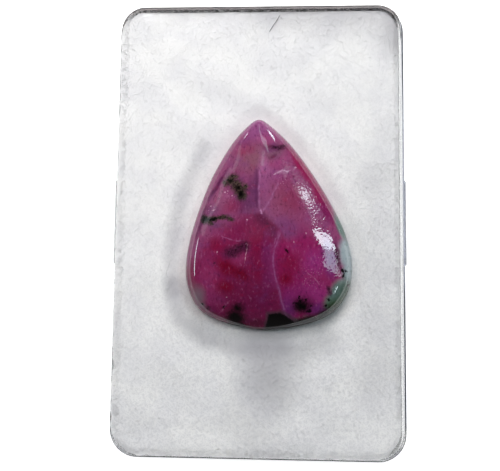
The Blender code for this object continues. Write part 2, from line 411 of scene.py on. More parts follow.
def pad_top(places, edge):
    """The height of the pad's top at places: crowned, lumpy, and pressed down under the stone."""
    to_edge = np.min(pad_half() - abs(places[:, :2]), axis=1)
    rise = np.clip(to_edge / (2 * PAD_SHOULDER), 0.0, 1.0)
    free = PAD_EDGE_TOP + PAD_CROWN * (1 - (1 - rise) ** 2)
    _, lap, far = pad_sides(places[:, :2])
    free += LAP_RISE * lap * (1 - np.clip(to_edge / LAP_RAMP, 0.0, 1.0)) ** 2
    free -= FAR_DROP * far * (1 - np.clip(to_edge / FAR_RAMP, 0.0, 1.0)) ** 2
    free -= LAP_TURN * np.clip(-to_edge / LAP_REACH, 0.0, 1.0) ** 2
    flat = np.column_stack([places[:, :2], np.zeros(len(places))])
    free += ripples(flat, PAD_LUMPS, seed=11)
    free += ripples(flat, PAD_NAP, seed=12, count=40)
    away = edge.away(places)
    pressed = STONE_BOTTOM - PAD_REST + PAD_HUG * eased(1 + away / HUG_REACH)
    return pressed + (free - pressed) * eased(away / DENT_REACH)


def rounded_corners(across):
    """The places of a rectangle of the pad's size, with those at its corners drawn in round."""
    inner = pad_half() - (PAD_CORNER + PAD_SHOULDER)
    core = np.clip(across, -inner, inner)
    out = across - core
    length = np.linalg.norm(out, axis=1)
    corner = (out[:, 0] != 0) & (out[:, 1] != 0)
    rounder = np.where(corner, np.max(abs(out), axis=1) / np.maximum(length, 1e-12), 1.0)
    return core + out * rounder[:, None]


def make_pad(edge):
    """The pad: its rim laps over the tray's lip, the row under the rim follows as a cuff, and the
    side below keeps clear of the tray's drafted wall."""
    bm = bmesh.new()
    subdivided_cube(bm, PAD_CUTS)
    made = to_object(bm, "fibre_pad_fleece")
    mesh = made.data
    cube = vertex_values(mesh, "co")
    across = rounded_corners(cube[:, :2] * pad_half())
    way, lap, _ = pad_sides(across)
    lapping = eased((lap - LAP_FROM) / LAP_OVER)
    flat = np.column_stack([across, np.zeros(len(across))])
    reach = LAP_REACH + LAP_REACH_NEAR * np.maximum(-way[:, 1], 0)
    reach += ripples(flat, LAP_WAVES, seed=15)
    rim = (cube[:, 2] > ON_FACE) & (abs(cube[:, :2]).max(axis=1) > ON_FACE)
    across = across + way * (rim * lapping * reach)[:, None]
    low = FLOOR + PAD_GAP
    top = pad_top(across, edge)
    height = low + (cube[:, 2] + 1) / 2 * (top - low)
    under_rim = 1 - 2 / (PAD_CUTS[2] + 1)
    cuff = (abs(cube[:, 2] - under_rim) < 0.01) * lapping
    height += (TRAY_HEIGHT + LAP_CLEARANCE - height) * cuff
    drawn_in = DRAFT * np.clip((TRAY_HEIGHT - height) / (TRAY_HEIGHT - FLOOR), 0.0, 1.0)
    places = np.column_stack([across - way * drawn_in[:, None], height])
    move_points(mesh, places)
    side = (abs(cube[:, 2]) < ON_FACE).astype(float)
    hollow = np.minimum(ripples(places, PAD_HOLLOWS, seed=14) - HOLLOWS_SINK, 0.0)
    outward = vertex_values(mesh, "normal")
    outward[:, 2] = 0.0
    move_points(mesh, places + outward * (side * (1 - cuff) * hollow)[:, None])
    mesh.shade_smooth()
    mesh.set_sharp_from_angle(angle=math.radians(50))
    return made


def tube_mesh(name, paths, radii):
    """Many fine fibres as one mesh: three-sided tubes along paths, each drawn out to a point."""
    count, steps = paths.shape[:2]
    along = np.gradient(paths, axis=1)
    along /= np.maximum(np.linalg.norm(along, axis=2, keepdims=True), 1e-12)
    side = np.cross(along, np.array([0.0, 0.0, 1.0]))
    side /= np.maximum(np.linalg.norm(side, axis=2, keepdims=True), 1e-9)
    over = np.cross(side, along)
    rings = []
    for corner in range(3):
        angle = 2 * math.pi * corner / 3 + math.pi / 2
        ray = side * math.cos(angle) + over * math.sin(angle)
        rings.append(paths[:, 1:-1] + ray[:, 1:-1] * radii[:, None, None])
    ring_count = steps - 2
    middle = np.stack(rings, axis=2).reshape(count, ring_count * 3, 3)
    verts = np.concatenate([paths[:, :1], middle, paths[:, -1:]], axis=1)
    tris = []
    last = 1 + ring_count * 3
    for corner in range(3):
        beside = (corner + 1) % 3
        tris.append((0, 1 + beside, 1 + corner))
        tris.append((last, last - 3 + corner, last - 3 + beside))
        for ring in range(ring_count - 1):
            a, b = 1 + ring * 3 + corner, 1 + ring * 3 + beside
            tris.append((a, b, b + 3))
            tris.append((a, b + 3, a + 3))
    per_fibre = verts.shape[1]
    faces = np.array(tris)[None] + (np.arange(count) * per_fibre)[:, None, None]
    mesh = bpy.data.meshes.new(name)
    mesh.from_pydata(verts.reshape(-1, 3).tolist(), [], faces.reshape(-1, 3).tolist())
    mesh.shade_smooth()
    return to_scene(name, mesh)


def wandering(rng, starts, headings, lengths):
    """Flat paths that start at places, head off at angles in radians and curl as they go."""
    curl = rng.normal(0, FIBRE_CURL, len(starts))
    turns = rng.normal(0, FIBRE_WANDER, (len(starts), FIBRE_POINTS - 1))
    turns += (curl / (FIBRE_POINTS - 1))[:, None]
    angles = headings[:, None] + np.cumsum(turns, axis=1)
    steps = np.stack([np.cos(angles), np.sin(angles)], axis=2)
    steps *= (lengths / (FIBRE_POINTS - 1))[:, None, None]
    start = starts[:, None, :]
    return np.concatenate([start, start + np.cumsum(steps, axis=1)], axis=1)


def on_pad(paths, edge):
    """The pad's height under each point of some flat paths."""
    return pad_top(paths.reshape(-1, 2), edge).reshape(paths.shape[:2])


def make_top_fibres(layer, edge):
    """One layer of the loose fibres that lie on the pad's top."""
    rng = np.random.default_rng(100 + layer)
    half = pad_half() - TOP_MARGIN
    starts = rng.uniform(-1, 1, (TOP_FIBRES, 2)) * half
    headings = rng.uniform(0, 2 * math.pi, TOP_FIBRES)
    lengths = rng.uniform(*TOP_LENGTHS_MM, TOP_FIBRES) * MM
    paths = wandering(rng, starts, headings, lengths)
    away = edge.away(paths.reshape(-1, 2)).reshape(paths.shape[:2]).min(axis=1)
    inside = (half - abs(paths)).min(axis=(1, 2)) > 0
    paths = paths[(away > STONE_CLEARANCE) & inside]
    lift = rng.uniform(*TOP_LIFTS_MM, paths.shape[:2]) * MM
    lift[:, 0] = TOP_ROOT
    lift[:, -1] = rng.uniform(*TOP_END_LIFTS_MM, len(paths)) * MM
    height = on_pad(paths, edge) + lift
    radii = FIBRE_RADIUS * rng.uniform(*TOP_GIRTHS, len(paths))
    return tube_mesh(f"pad_fibres_{layer + 1}", np.dstack([paths, height]), radii)


def make_edge_fibres(edge):
    """The fuzz all along the pad's edge. It leans on the lip and, to the left and near, over it."""
    rng = np.random.default_rng(200)
    half = pad_half()
    way = rng.uniform(0, 4 * (half[0] + half[1]), EDGE_FIBRES)
    corners = np.array([(-1, 1), (1, 1), (1, -1), (-1, -1), (-1, 1)]) * half
    lengths = np.linalg.norm(np.diff(corners, axis=0), axis=1)
    ways = np.concatenate([[0.0], np.cumsum(lengths)])
    on_edge = np.stack([np.interp(way, ways, corners[:, i]) for i in (0, 1)], axis=1)
    core, out = way_out(on_edge)
    inset = rng.uniform(*EDGE_INSETS_MM, (EDGE_FIBRES, 1)) * MM
    starts = core + out * (PAD_CORNER - inset)
    headings = np.arctan2(out[:, 1], out[:, 0]) + rng.normal(0, EDGE_SPREAD, EDGE_FIBRES)
    paths = wandering(rng, starts, headings, rng.uniform(*EDGE_LENGTHS_MM, EDGE_FIBRES) * MM)
    reach = EDGE_REACH + EDGE_REACH_LEFT * np.maximum(0, -out[:, 0])
    reach += EDGE_REACH_NEAR * np.maximum(0, -out[:, 1])
    reach += EDGE_REACH_FAR * np.maximum(0, out[:, 1])
    from_core = paths - core[:, None, :]
    outward = np.maximum(np.einsum("npi,ni->np", from_core, out) - PAD_CORNER, 0.0)
    kept = outward.max(axis=1) < reach
    paths, outward = paths[kept], outward[kept]
    height = on_pad(np.clip(paths, -half, half), edge)
    over_lip = eased((outward + LIP_BEFORE) / LIP_OVER)
    height = height + np.maximum(TRAY_HEIGHT + LIP_CLEARANCE - height, 0.0) * over_lip
    along = np.linspace(0, 1, FIBRE_POINTS) ** EDGE_LIFT_CURVE
    lift = rng.uniform(*EDGE_LIFTS_MM, (len(paths), 1)) * MM * along
    radii = FIBRE_RADIUS * rng.uniform(*EDGE_GIRTHS, len(paths))
    return tube_mesh("pad_edge_fuzz_1", np.dstack([paths, height + lift]), radii)


def block(bm, width, length, bottom, top):
    made = bmesh.ops.create_cube(bm, size=1.0)["verts"]
    bmesh.ops.scale(bm, verts=made, vec=(width, length, top - bottom))
    bmesh.ops.translate(bm, verts=made, vec=(0, 0, (bottom + top) / 2))


def bevelled(bm, edges, offset, segments):
    bmesh.ops.bevel(
        bm,
        geom=edges,
        offset=offset,
        offset_type="OFFSET",
        segments=segments,
        profile=0.5,
        affect="EDGES",
        clamp_overlap=True,
        material=-1,
    )


def level_edges(bm, low, high):
    return [e for e in bm.edges if all(low <= v.co.z <= high for v in e.verts)]


def pushed(bm, face, depth, draft):
    """Extrudes a level face by depth, and draws the new face in by the mould's draft."""
    made = bmesh.ops.extrude_discrete_faces(bm, faces=[face])["faces"][0]
    reach = [max(abs(v.co[i]) for v in made.verts) for i in (0, 1)]
    bmesh.ops.translate(bm, verts=made.verts, vec=(0, 0, depth))
    bmesh.ops.scale(bm, verts=made.verts, vec=(1 - draft / reach[0], 1 - draft / reach[1], 1))
    return made


def grip(side, ledge):
    """A low rounded block that stands proud of one long side, just under the ledge's edge."""
    bm = bmesh.new()
    inner = TRAY_WIDTH / 2 - LEDGE_WIDTH
    outer = TRAY_WIDTH / 2 + GRIP_PROUD
    top = ledge - SMALL_EDGE
    block(bm, outer - inner, GRIP_LENGTH, top - GRIP_HEIGHT, top)
    rounded = [e for e in bm.edges if all(v.co.x * side > 0 for v in e.verts)]
    bevelled(bm, rounded, GRIP_ROUNDING, 5)
    bmesh.ops.translate(bm, verts=bm.verts, vec=(side * (inner + outer) / 2, GRIP_MIDDLE_Y, 0))
    return to_object(bm, "grip_cutter")


def make_tray():
    bm = bmesh.new()
    ledge = TRAY_HEIGHT - LIP_HEIGHT
    block(bm, TRAY_WIDTH, TRAY_LENGTH, 0, ledge)
    upright = [e for e in bm.edges if abs(e.verts[0].co.z - e.verts[1].co.z) > MM]
    bevelled(bm, upright, CORNER_RADIUS, CORNER_STEPS)
    foot = [v for v in bm.verts if v.co.z < ledge / 2]
    narrower = (1 - 2 * DRAFT / TRAY_WIDTH, 1 - 2 * DRAFT / TRAY_LENGTH, 1)
    bmesh.ops.scale(bm, verts=foot, vec=narrower)
    bm.normal_update()
    top = max(bm.faces, key=lambda f: f.calc_center_median().z)
    bmesh.ops.inset_region(bm, faces=[top], thickness=LEDGE_WIDTH, use_even_offset=True)
    top = pushed(bm, top, LIP_HEIGHT, 0)
    bmesh.ops.inset_region(bm, faces=[top], thickness=LIP_WIDTH, use_even_offset=True)
    pushed(bm, top, FLOOR - TRAY_HEIGHT, DRAFT)
    bevelled(bm, level_edges(bm, 0, 0), FOOT_EDGE, 4)
    bevelled(bm, level_edges(bm, ledge, TRAY_HEIGHT), SMALL_EDGE, 3)
    bmesh.ops.recalc_face_normals(bm, faces=bm.faces)
    made = to_object(bm, "moulded_tray")
    grips = [grip(side, ledge) for side in (-1, 1)]
    for added in grips:
        union = made.modifiers.new("grip", "BOOLEAN")
        union.operation = "UNION"
        union.solver = "EXACT"
        union.object = added
    graph = bpy.context.evaluated_depsgraph_get()
    made.data = bpy.data.meshes.new_from_object(made.evaluated_get(graph))
    made.modifiers.clear()
    for added in grips:
        bpy.data.objects.remove(added)
    made.data.shade_smooth()
    made.data.set_sharp_from_angle(angle=math.radians(35))
    return made


def make_hair(edge):
    """The stray dark fibre that lies on the pad near the far edge."""
    line = np.array(HAIR_MM) * MM
    share = np.linspace(0, 1, HAIR_POINTS)
    known = np.linspace(0, 1, len(line))
    flat = np.stack([np.interp(share, known, line[:, i]) for i in (0, 1)], axis=1)
    height = pad_top(flat, edge) + HAIR_LIFT + HAIR_ARCH * np.sin(share * math.pi)
    path = np.column_stack([flat, height])[None]
    return tube_mesh("stray_dark_fibre", path, np.array([HAIR_RADIUS]))


# ================================================================ materials


def colour(code):
    """An sRGB hex value as a linear colour."""
    parts = [int(code[i : i + 2], 16) / 255 for i in (1, 3, 5)]
    linear = [c / 12.92 if c <= 0.04045 else ((c + 0.055) / 1.055) ** 2.4 for c in parts]
    return (*linear, 1.0)


def add(tree, kind, settings, sockets, out=0):
    """Adds a node, sets it and its sockets, each to a value or to what is linked to it."""
    made = tree.nodes.new("ShaderNode" + kind)
    for name, value in settings.items():
        setattr(made, name, value)
    for name, value in sockets.items():
        if isinstance(value, bpy.types.NodeSocket):
            tree.links.new(value, made.inputs[name])
        else:
            made.inputs[name].default_value = value
    return made.outputs[out]


def new_material(name, shader_sockets):
    made = bpy.data.materials.new(name)
    made.use_nodes = True
    tree = made.node_tree
    shader = tree.nodes["Principled BSDF"]
    for socket, value in shader_sockets.items():
        shader.inputs[socket].default_value = value
    return made, tree, shader


# A range node whose run is eased at both ends
EASED = {"interpolation_type": "SMOOTHSTEP"}


def in_millimetres(tree):
    here = add(tree, "TexCoord", {}, {}, "Object")
    return add(tree, "VectorMath", {"operation": "SCALE"}, {0: here, "Scale": 1000.0})


def in_lumps(where, size, detail=2.0, roughness=0.5):
    """The sockets for noise whose lumps are about size millimetres across."""
    return {"Vector": where, "Scale": 1 / size, "Detail": detail, "Roughness": roughness}


def crumbled(tree, where, size, reach, detail=2.0):
    """The same places pushed about by noise with lumps of size, by up to about half of reach."""
    noise = add(tree, "TexNoise", {}, in_lumps(where, size, detail), "Color")
    push = add(tree, "VectorMath", {"operation": "SUBTRACT"}, {0: noise, 1: (0.5, 0.5, 0.5)})
    sockets = {0: push, 1: (reach, reach, reach), 2: where}
    return add(tree, "VectorMath", {"operation": "MULTIPLY_ADD"}, sockets)


def joined(tree, masks, operation="MAXIMUM"):
    total = masks[0]
    for mask in masks[1:]:
        total = add(tree, "Math", {"operation": operation}, {0: total, 1: mask})
    return total


def grain(tree, where, x, y, long, wide, turn=0.0, soft=0.3):
    """A mask of one oval grain, 1 inside and 0 outside. It goes down into the stone."""
    sockets = {
        "Vector": where,
        "Location": (x, y, MARK_HEIGHT),
        "Rotation": (0, 0, math.radians(turn)),
        "Scale": (long, wide, MARK_DEPTH),
    }
    placed = add(tree, "Mapping", {"vector_type": "TEXTURE"}, sockets)
    away = add(tree, "VectorMath", {"operation": "LENGTH"}, {0: placed}, "Value")
    return add(tree, "MapRange", EASED, {0: away, 1: 1 + soft, 2: 1 - soft})


def grains(tree, where, ovals):
    """A mask of several oval grains."""
    return joined(tree, [grain(tree, where, *oval) for oval in ovals])


def straight_band(tree, where, start, end, width):
    """A mask of a band along a straight line, strongest along it from start to end: a healed crack,
    or a line of painted shade.
    """
    run = Vector(end) - Vector(start)
    middle = (Vector(end) + Vector(start)) / 2
    sockets = {
        "Vector": where,
        "Location": (*middle, 0),
        "Rotation": (0, 0, math.atan2(run.y, run.x)),
        "Scale": (1, 1, 1e6),
    }
    placed = add(tree, "Mapping", {"vector_type": "TEXTURE"}, sockets)
    folded = add(tree, "VectorMath", {"operation": "ABSOLUTE"}, {0: placed})
    ends = (run.length / 2, 0, 0)
    past = add(tree, "VectorMath", {"operation": "SUBTRACT"}, {0: folded, 1: ends})
    near = add(tree, "VectorMath", {"operation": "MAXIMUM"}, {0: past, 1: (0, 0, 0)})
    away = add(tree, "VectorMath", {"operation": "LENGTH"}, {0: near}, "Value")
    return add(tree, "MapRange", EASED, {0: away, 1: width, 2: 0})


def bent_band(tree, where, points, width):
    """A mask of a band along a bent line through points: a crack, or a line of painted shade."""
    return joined(tree, [straight_band(tree, where, a, b, width) for a, b in zip(points, points[1:])])


def left_of(tree, where, start, end, soft):
    """A mask that is 1 on the left of the line from start to end, and 0 on its right."""
    run = (Vector(end) - Vector(start)).normalized()
    square = Vector((-run.y, run.x))
    sockets = {0: where, 1: (square.x, square.y, 0)}
    across = add(tree, "VectorMath", {"operation": "DOT_PRODUCT"}, sockets, "Value")
    level = square.dot(Vector(start))
    return add(tree, "MapRange", EASED, {0: across, 1: level - soft, 2: level + soft})


def angular(tree, where, corners, soft):
    """A mask of an angular patch, whose corners go round it counter-clockwise."""
    sides = zip(corners, corners[1:] + corners[:1])
    return joined(tree, [left_of(tree, where, a, b, soft) for a, b in sides], "MINIMUM")


def stained(tree, under, over, mask, amount=1.0):
    """A colour laid over another one, as far as the mask and the amount say."""
    share = add(tree, "Math", {"operation": "MULTIPLY"}, {0: mask, 1: amount})
    tint = colour(over) if isinstance(over, str) else over
    base = colour(under) if isinstance(under, str) else under
    return add(tree, "Mix", {"data_type": "RGBA"}, {0: share, 6: base, 7: tint}, 2)


def toned(tree, under, over, value, low, high, amount=1.0):
    """A colour that turns to another one as a value goes from low to high."""
    mask = add(tree, "MapRange", EASED, {0: value, 1: low, 2: high})
    return stained(tree, under, over, mask, amount)


def clouded(tree, under, where, clouds):
    """A colour with clouds in it, each a tint with its amount, and then its ovals."""
    for (tint, amount), *ovals in clouds:
        under = stained(tree, under, tint, grains(tree, where, ovals), amount)
    return under


# Places on the stone are in the tray's millimetres. A grain is x, y, half its length and width,
# the way it lies in degrees, and how soft its edge is. Grains are deep, so the stone's side shows
# them too
MARK_HEIGHT = 16.0
MARK_DEPTH = 7.0
RUBY_CLOUDS = (
    # the tip and the upper third: rosy mauve with an olive cast and a reddish spot
    (("#96548A", 0.60), (-0.1, 14.8, 2.4, 1.8, 0, 0.7)),
    (("#845660", 0.60), (-0.9, 9.9, 2.2, 1.8, 25, 0.8)),
    (("#923050", 0.50), (-2.3, 11.4, 1.1, 0.8, 50, 0.8), (-1.2, 11.3, 0.6, 0.5, 0, 0.8)),
    (("#9C4074", 0.50), (3.4, 9.6, 1.7, 1.0, 20, 0.8), (1.2, 13.2, 1.2, 0.9, 0, 0.8)),
    (("#705060", 0.60), (2.6, 10.9, 1.3, 1.0, 40, 0.8)),
    (("#54203C", 0.70), (2.8, 11.8, 1.7, 0.45, -2, 0.8), (2.3, 10.3, 0.6, 0.3, 45, 0.8)),
    # the splinter: a lighter pane that fades to the right
    (("#B0649A", 0.55), (0.9, 8.3, 0.8, 1.5, 0, 0.8)),
    (("#8E4278", 0.60), (1.0, 6.0, 1.0, 2.6, 0, 0.8), (2.4, 7.2, 1.6, 1.0, 10, 0.8)),
    # the right flank: crimson under the shoulder, brown-red beside the splinter
    (("#860A46", 0.95), (6.9, 8.7, 3.6, 0.80, 124, 0.6), (9.8, 3.9, 3.8, 0.80, 116, 0.6)),
    (("#822C48", 0.60), (4.9, 3.6, 2.2, 2.6, 20, 0.8)),
    (("#6C2A66", 0.60), (4.6, -1.2, 2.2, 1.5, -35, 0.8), (6.4, -2.6, 1.4, 1.0, -20, 0.8)),
    (("#861A50", 0.60), (7.6, -3.0, 1.3, 2.4, 20, 0.8)),
    (("#6E1450", 0.70), (10.5, 2.0, 2.0, 0.8, 112, 0.7)),
    # the left flank: lavender round the long black grain
    (("#562450", 0.75), (-1.6, 2.9, 1.9, 1.5, 0, 0.8), (-0.9, 5.0, 0.8, 1.6, 0, 0.8)),
    (("#684066", 0.70), (-6.3, -0.5, 1.8, 0.7, -5, 0.8), (-6.4, 2.3, 1.6, 0.8, 30, 0.8)),
    (("#862446", 0.55), (-4.2, 2.5, 1.5, 1.0, 0, 0.8), (-4.4, -1.1, 1.6, 0.9, 0, 0.8)),
    (("#8C4C6C", 0.45), (-6.2, 4.4, 1.5, 0.9, 50, 0.8), (-7.8, -0.9, 0.8, 1.0, 0, 0.8)),
    (("#9A5478", 0.45), (-6.0, 3.6, 1.2, 1.6, 0, 0.8)),
    # painted reflection: two thin dark stripes that follow the left crease
    (("#4A0A3E", 0.80), (-6.4, 5.6, 2.8, 0.34, 58, 0.7), (-8.7, 0.2, 2.6, 0.30, 74, 0.7)),
    (("#541650", 0.55), (-0.3, 5.3, 2.6, 0.35, 90, 0.8)),
)
DEEP_CLOUDS = (
    (("#560838", 0.90), (0.9, 0.3, 1.3, 0.8, -40, 0.8), (2.6, -1.5, 0.6, 1.2, 30, 0.8)),
    (("#7C1038", 0.75), (-6.4, -3.4, 1.7, 1.2, 20, 0.8), (5.1, -6.1, 1.6, 1.4, 0, 0.8)),
    (("#6E001C", 0.85), (-4.4, -6.9, 1.9, 0.9, -25, 0.8), (-2.6, -7.8, 1.3, 0.8, -30, 0.8)),
    (("#780020", 0.80), (-5.0, -10.0, 1.3, 1.0, 10, 0.8), (4.4, -8.5, 1.0, 0.9, 0, 0.8)),
    (("#7E0836", 0.60), (0.2, -3.6, 1.2, 1.6, 0, 0.8), (0.4, -7.0, 0.9, 1.6, 0, 0.8)),
    (("#8E3060", 0.70), (-7.4, -8.6, 1.5, 2.6, 0, 0.8), (-2.6, -5.4, 1.2, 0.9, 30, 0.8)),
    (("#842858", 0.45), (-5.6, -1.9, 2.2, 0.8, -20, 0.8), (-7.9, -4.6, 0.9, 2.4, 8, 0.8)),
    (("#74225C", 0.60), (1.4, -5.0, 0.7, 2.4, 0, 0.7), (1.7, -8.6, 0.9, 2.6, -8, 0.8)),
    (("#96307A", 0.65), (8.6, -6.0, 1.5, 1.7, 0, 0.8), (8.6, -10.6, 2.6, 1.5, -20, 0.8)),
    (("#6A2A72", 0.75), (4.9, -12.8, 1.5, 0.9, -65, 0.8), (9.2, -13.0, 1.4, 0.9, 20, 0.8)),
    (("#6C1446", 0.70), (0.4, -12.5, 2.8, 1.9, 0, 0.8), (-7.0, -13.2, 2.2, 0.7, -30, 0.7)),
    (("#8A3064", 0.60), (-6.6, -11.6, 1.6, 1.2, 0, 0.8)),
    (("#8C2C76", 0.60), (5.2, -11.2, 1.4, 1.3, 0, 0.8)),
    (("#54307C", 0.70), (11.0, -5.2, 1.0, 2.4, 10, 0.8)),
    (("#3A0620", 0.60), (-0.6, -15.4, 2.6, 0.8, 0, 0.6)),
)
DEEP_BORDER = [(3.4, -1.0), (0.5, 1.25), (-4.2, 1.1), (-14.0, 0.6), (-14.0, -18.0), (12.0, -18.0)]
DEEP_LEFT = ((-1.2, 1.8), (-12.0, -7.2))
RIGHT_DEEP = [(3.2, -2.6), (2.3, -5.0), (3.0, -9.0), (5.4, -16.0), (14.0, -10.0), (9.5, -2.0)]
FRACTURE = (
    (3.5, -1.6),
    (3.0, -3.1),
    (2.55, -4.6),
    (2.45, -6.2),
    (2.7, -8.0),
    (3.2, -9.6),
    (3.85, -12.0),
    (4.25, -13.6),
    (4.9, -14.7),
    (6.2, -15.4),
)
CRACKS_AND_GLINT_LINES = (
    # tint, amount, width, how broken it is, and the points it runs through
    ("#843068", 0.60, 1.00, 0.3, [(x - 0.15, y) for x, y in FRACTURE[:6]]),
    ("#7C4478", 0.35, 0.42, 0.3, FRACTURE[5:]),
    ("#A05C90", 0.60, 0.22, 0.7, FRACTURE),
    ("#B078A4", 0.50, 0.16, 0.9, ((3.3, -1.9), (2.8, -2.7), (2.4, -3.7))),
    ("#4E1446", 0.55, 0.42, 0.2, ((-0.1, 8.0), (-0.15, 5.0), (-0.05, 2.4))),
    ("#A8689C", 0.55, 0.24, 0.6, ((0.35, 8.0), (0.25, 5.0), (0.3, 2.4), (0.6, 1.4))),
    ("#A06090", 0.65, 0.24, 0.6, ((0.6, 1.35), (1.5, 2.7), (2.2, 3.9), (3.1, 5.9))),
    ("#C890BC", 0.60, 0.20, 0.0, ((0.5, 1.8), (0.65, 1.3))),
    ("#D8B0CC", 0.75, 0.22, 1.0, ((2.5, 7.4), (3.8, 8.1), (4.6, 7.9), (5.8, 8.7))),
    ("#A87498", 0.50, 0.50, 0.6, ((2.9, 7.7), (4.5, 7.9), (5.4, 8.5))),
    ("#A87E98", 0.60, 0.42, 0.4, ((0.85, 10.9), (0.75, 8.9))),
    ("#9A5482", 0.55, 0.16, 0.8, ((-6.2, -1.5), (-5.3, -2.2), (-3.3, -2.9), (-1.9, -2.9))),
    # painted glint: a broken line of highlight on the pits
    ("#E0A4BC", 0.80, 0.12, 0.9, ((-1.35, -3.5), (-1.6, -4.6), (-1.9, -6.2))),
    ("#A86488", 0.55, 0.18, 0.9, ((-4.2, -11.9), (-5.2, -13.3), (-5.8, -13.8))),
    # painted glint: a broken streak of highlight on the pits
    ("#B878A0", 0.50, 0.12, 0.9, ((7.6, -7.6), (8.6, -8.3), (9.4, -9.2))),
)
# Painted glints: small bright dots of highlight on pits, as x, y, and half their length and width
GLINT_DOTS = (
    (-5.0, 4.7, 0.09, 0.12),
    (-4.6, 4.9, 0.07, 0.06),
    (-3.9, 4.1, 0.08, 0.11),
    (-6.0, -4.5, 0.08, 0.07),
    (-1.5, 0.4, 0.10, 0.09),
    (-7.2, 2.6, 0.11, 0.08),
    (-6.8, 1.9, 0.14, 0.07),
    (-1.55, -3.4, 0.08, 0.09),
    (5.6, -3.0, 0.07, 0.11),
    (7.4, -1.6, 0.06, 0.12),
    (-4.6, -11.4, 0.10, 0.07),
)
# Fields, as grains, where painted glints of highlight are scattered
GLINT_FIELDS = (
    (8.4, -8.3, 2.0, 1.7, -30, 0.5),
    (9.6, -6.0, 1.4, 1.2, 0, 0.6),
    (7.2, 3.0, 0.9, 2.6, 28, 0.5),
    (4.4, 6.4, 1.5, 1.0, -20, 0.6),
    (-4.6, 4.0, 1.1, 0.9, 0, 0.6),
    (-7.0, 2.0, 0.9, 0.8, 0, 0.6),
)
OLIVE_GRAINS = (
    (-4.1, 6.5, 1.00, 0.95, -20, 0.60),
    (-3.7, 7.1, 0.80, 0.50, 0, 0.60),
    (-3.3, 5.7, 1.15, 1.00, -40, 0.60),
    (-2.7, 4.9, 1.05, 1.00, -30, 0.55),
    (-2.4, 4.2, 0.85, 0.90, 15, 0.55),
    (-1.9, 5.4, 0.45, 0.60, 0, 0.60),
    (-5.0, 6.2, 0.45, 0.50, 0, 0.70),
    (-8.1, 0.50, 0.65, 0.62, 0, 0.60),
    (-6.9, 0.55, 1.20, 0.46, 4, 0.60),
    (-5.4, 0.75, 1.20, 0.40, 6, 0.60),
    (-4.2, 0.55, 0.80, 0.32, -22, 0.65),
    (-7.3, -0.05, 0.60, 0.36, -25, 0.60),
)
BLACK_GRAINS = (
    (-2.5, 4.3, 0.42, 0.66, 0, 0.85),
    (-3.0, 5.3, 0.50, 0.30, -30, 0.85),
    (-4.2, 6.5, 0.42, 0.28, 20, 0.85),
    (-8.30, 0.55, 0.46, 0.70, 0, 0.50),
    (-7.0, 0.50, 1.00, 0.24, 6, 0.60),
    (-3.3, -14.5, 1.60, 1.40, 0, 0.60),
    (-3.3, -15.9, 1.90, 0.95, 0, 0.40),
    (-2.9, -13.1, 0.95, 0.80, 0, 0.85),
    (6.75, -12.60, 1.00, 0.75, 0, 0.80),
    (7.10, -12.80, 0.65, 0.52, 30, 0.80),
    (6.2, -12.3, 0.50, 0.34, 25, 0.80),
    (6.6, -11.9, 0.40, 0.36, 25, 0.80),
    (7.9, -13.3, 0.45, 0.24, 20, 0.70),
    (5.5, -12.1, 0.22, 0.16, 25, 0.70),
    (6.4, -11.3, 0.14, 0.30, 20, 0.70),
    (7.5, -11.7, 0.16, 0.26, -20, 0.70),
    (8.3, -12.6, 0.20, 0.14, 0, 0.70),
    (13.0, -7.25, 0.22, 0.50, 25, 0.55),
    (13.1, -8.0, 0.20, 0.42, -15, 0.55),
    (13.45, -7.2, 0.10, 0.30, 50, 0.60),
    (14.05, -9.4, 0.18, 0.24, 0, 0.55),
    (13.8, -8.9, 0.10, 0.12, 0, 0.50),
    (10.9, -11.6, 0.26, 0.24, 0, 0.55),
    (10.4, -12.5, 0.18, 0.20, 0, 0.55),
    (-5.0, -12.9, 0.28, 0.20, 60, 0.60),
    (-8.4, -12.4, 0.18, 0.18, 0, 0.60),
    (4.5, -4.4, 0.48, 0.17, -58, 0.60),
)
DIM_GRAINS = (
    (-3.7, -4.6, 1.25, 0.85, 10, 0.65),
    (-2.0, -3.8, 1.00, 0.85, 15, 0.60),
    (-2.9, -4.2, 0.90, 0.70, 15, 0.65),
    (2.9, 11.75, 1.00, 0.26, -3, 0.80),
    (3.7, 12.0, 0.60, 0.26, 15, 0.75),
    (-6.4, -6.2, 0.22, 0.20, 0, 0.60),
    (-7.4, -13.0, 0.30, 0.26, 0, 0.60),
    (10.9, -10.2, 0.35, 0.80, 20, 0.60),
    (6.9, -12.5, 1.50, 1.15, 10, 0.80),
    (12.2, -5.0, 0.35, 2.00, 8, 0.70),
)
GREY_SMUDGES = ((-8.9, -11.2, 0.95, 1.5, 20, 0.80), (-8.3, -12.6, 0.6, 0.5, 0, 0.80))
FOOT_PATCH = [(0.9, -18.0), (8.4, -18.0), (6.6, -15.6), (4.6, -14.2), (3.6, -13.6), (1.8, -13.9)]
FOOT_MARGIN = [(0.6, -18.0), (9.4, -18.0), (6.9, -15.2), (5.0, -13.8), (3.7, -13.2), (1.5, -13.5)]
ZOISITE = (
    (12.9, -0.5, 2.60, 0.70, 112, 0.45),
    (14.5, -4.4, 2.90, 2.05, 95, 0.28),
    (14.7, -7.6, 2.40, 1.75, 88, 0.28),
    (13.6, -10.1, 2.70, 1.80, 20, 0.28),
    (12.4, -12.0, 2.50, 2.00, 45, 0.30),
    (10.8, -14.4, 2.40, 1.40, 25, 0.32),
    (7.6, -15.3, 2.90, 1.25, 12, 0.40),
    (5.4, -16.4, 2.40, 1.35, 5, 0.35),
)
TEAL_PATCH = (11.6, -10.3, 1.9, 1.3, 20, 0.7)
# The line on the right flank along which the polish is pitted
FLANK_GRIT = ((4.3, 10.4), (5.4, 8.6), (8.2, 3.6), (10.6, -1.6), (11.9, -7.0))
# The levels between which the ground side turns to the polished one
GROUND_TO_POLISHED = (12.6, 14.0)


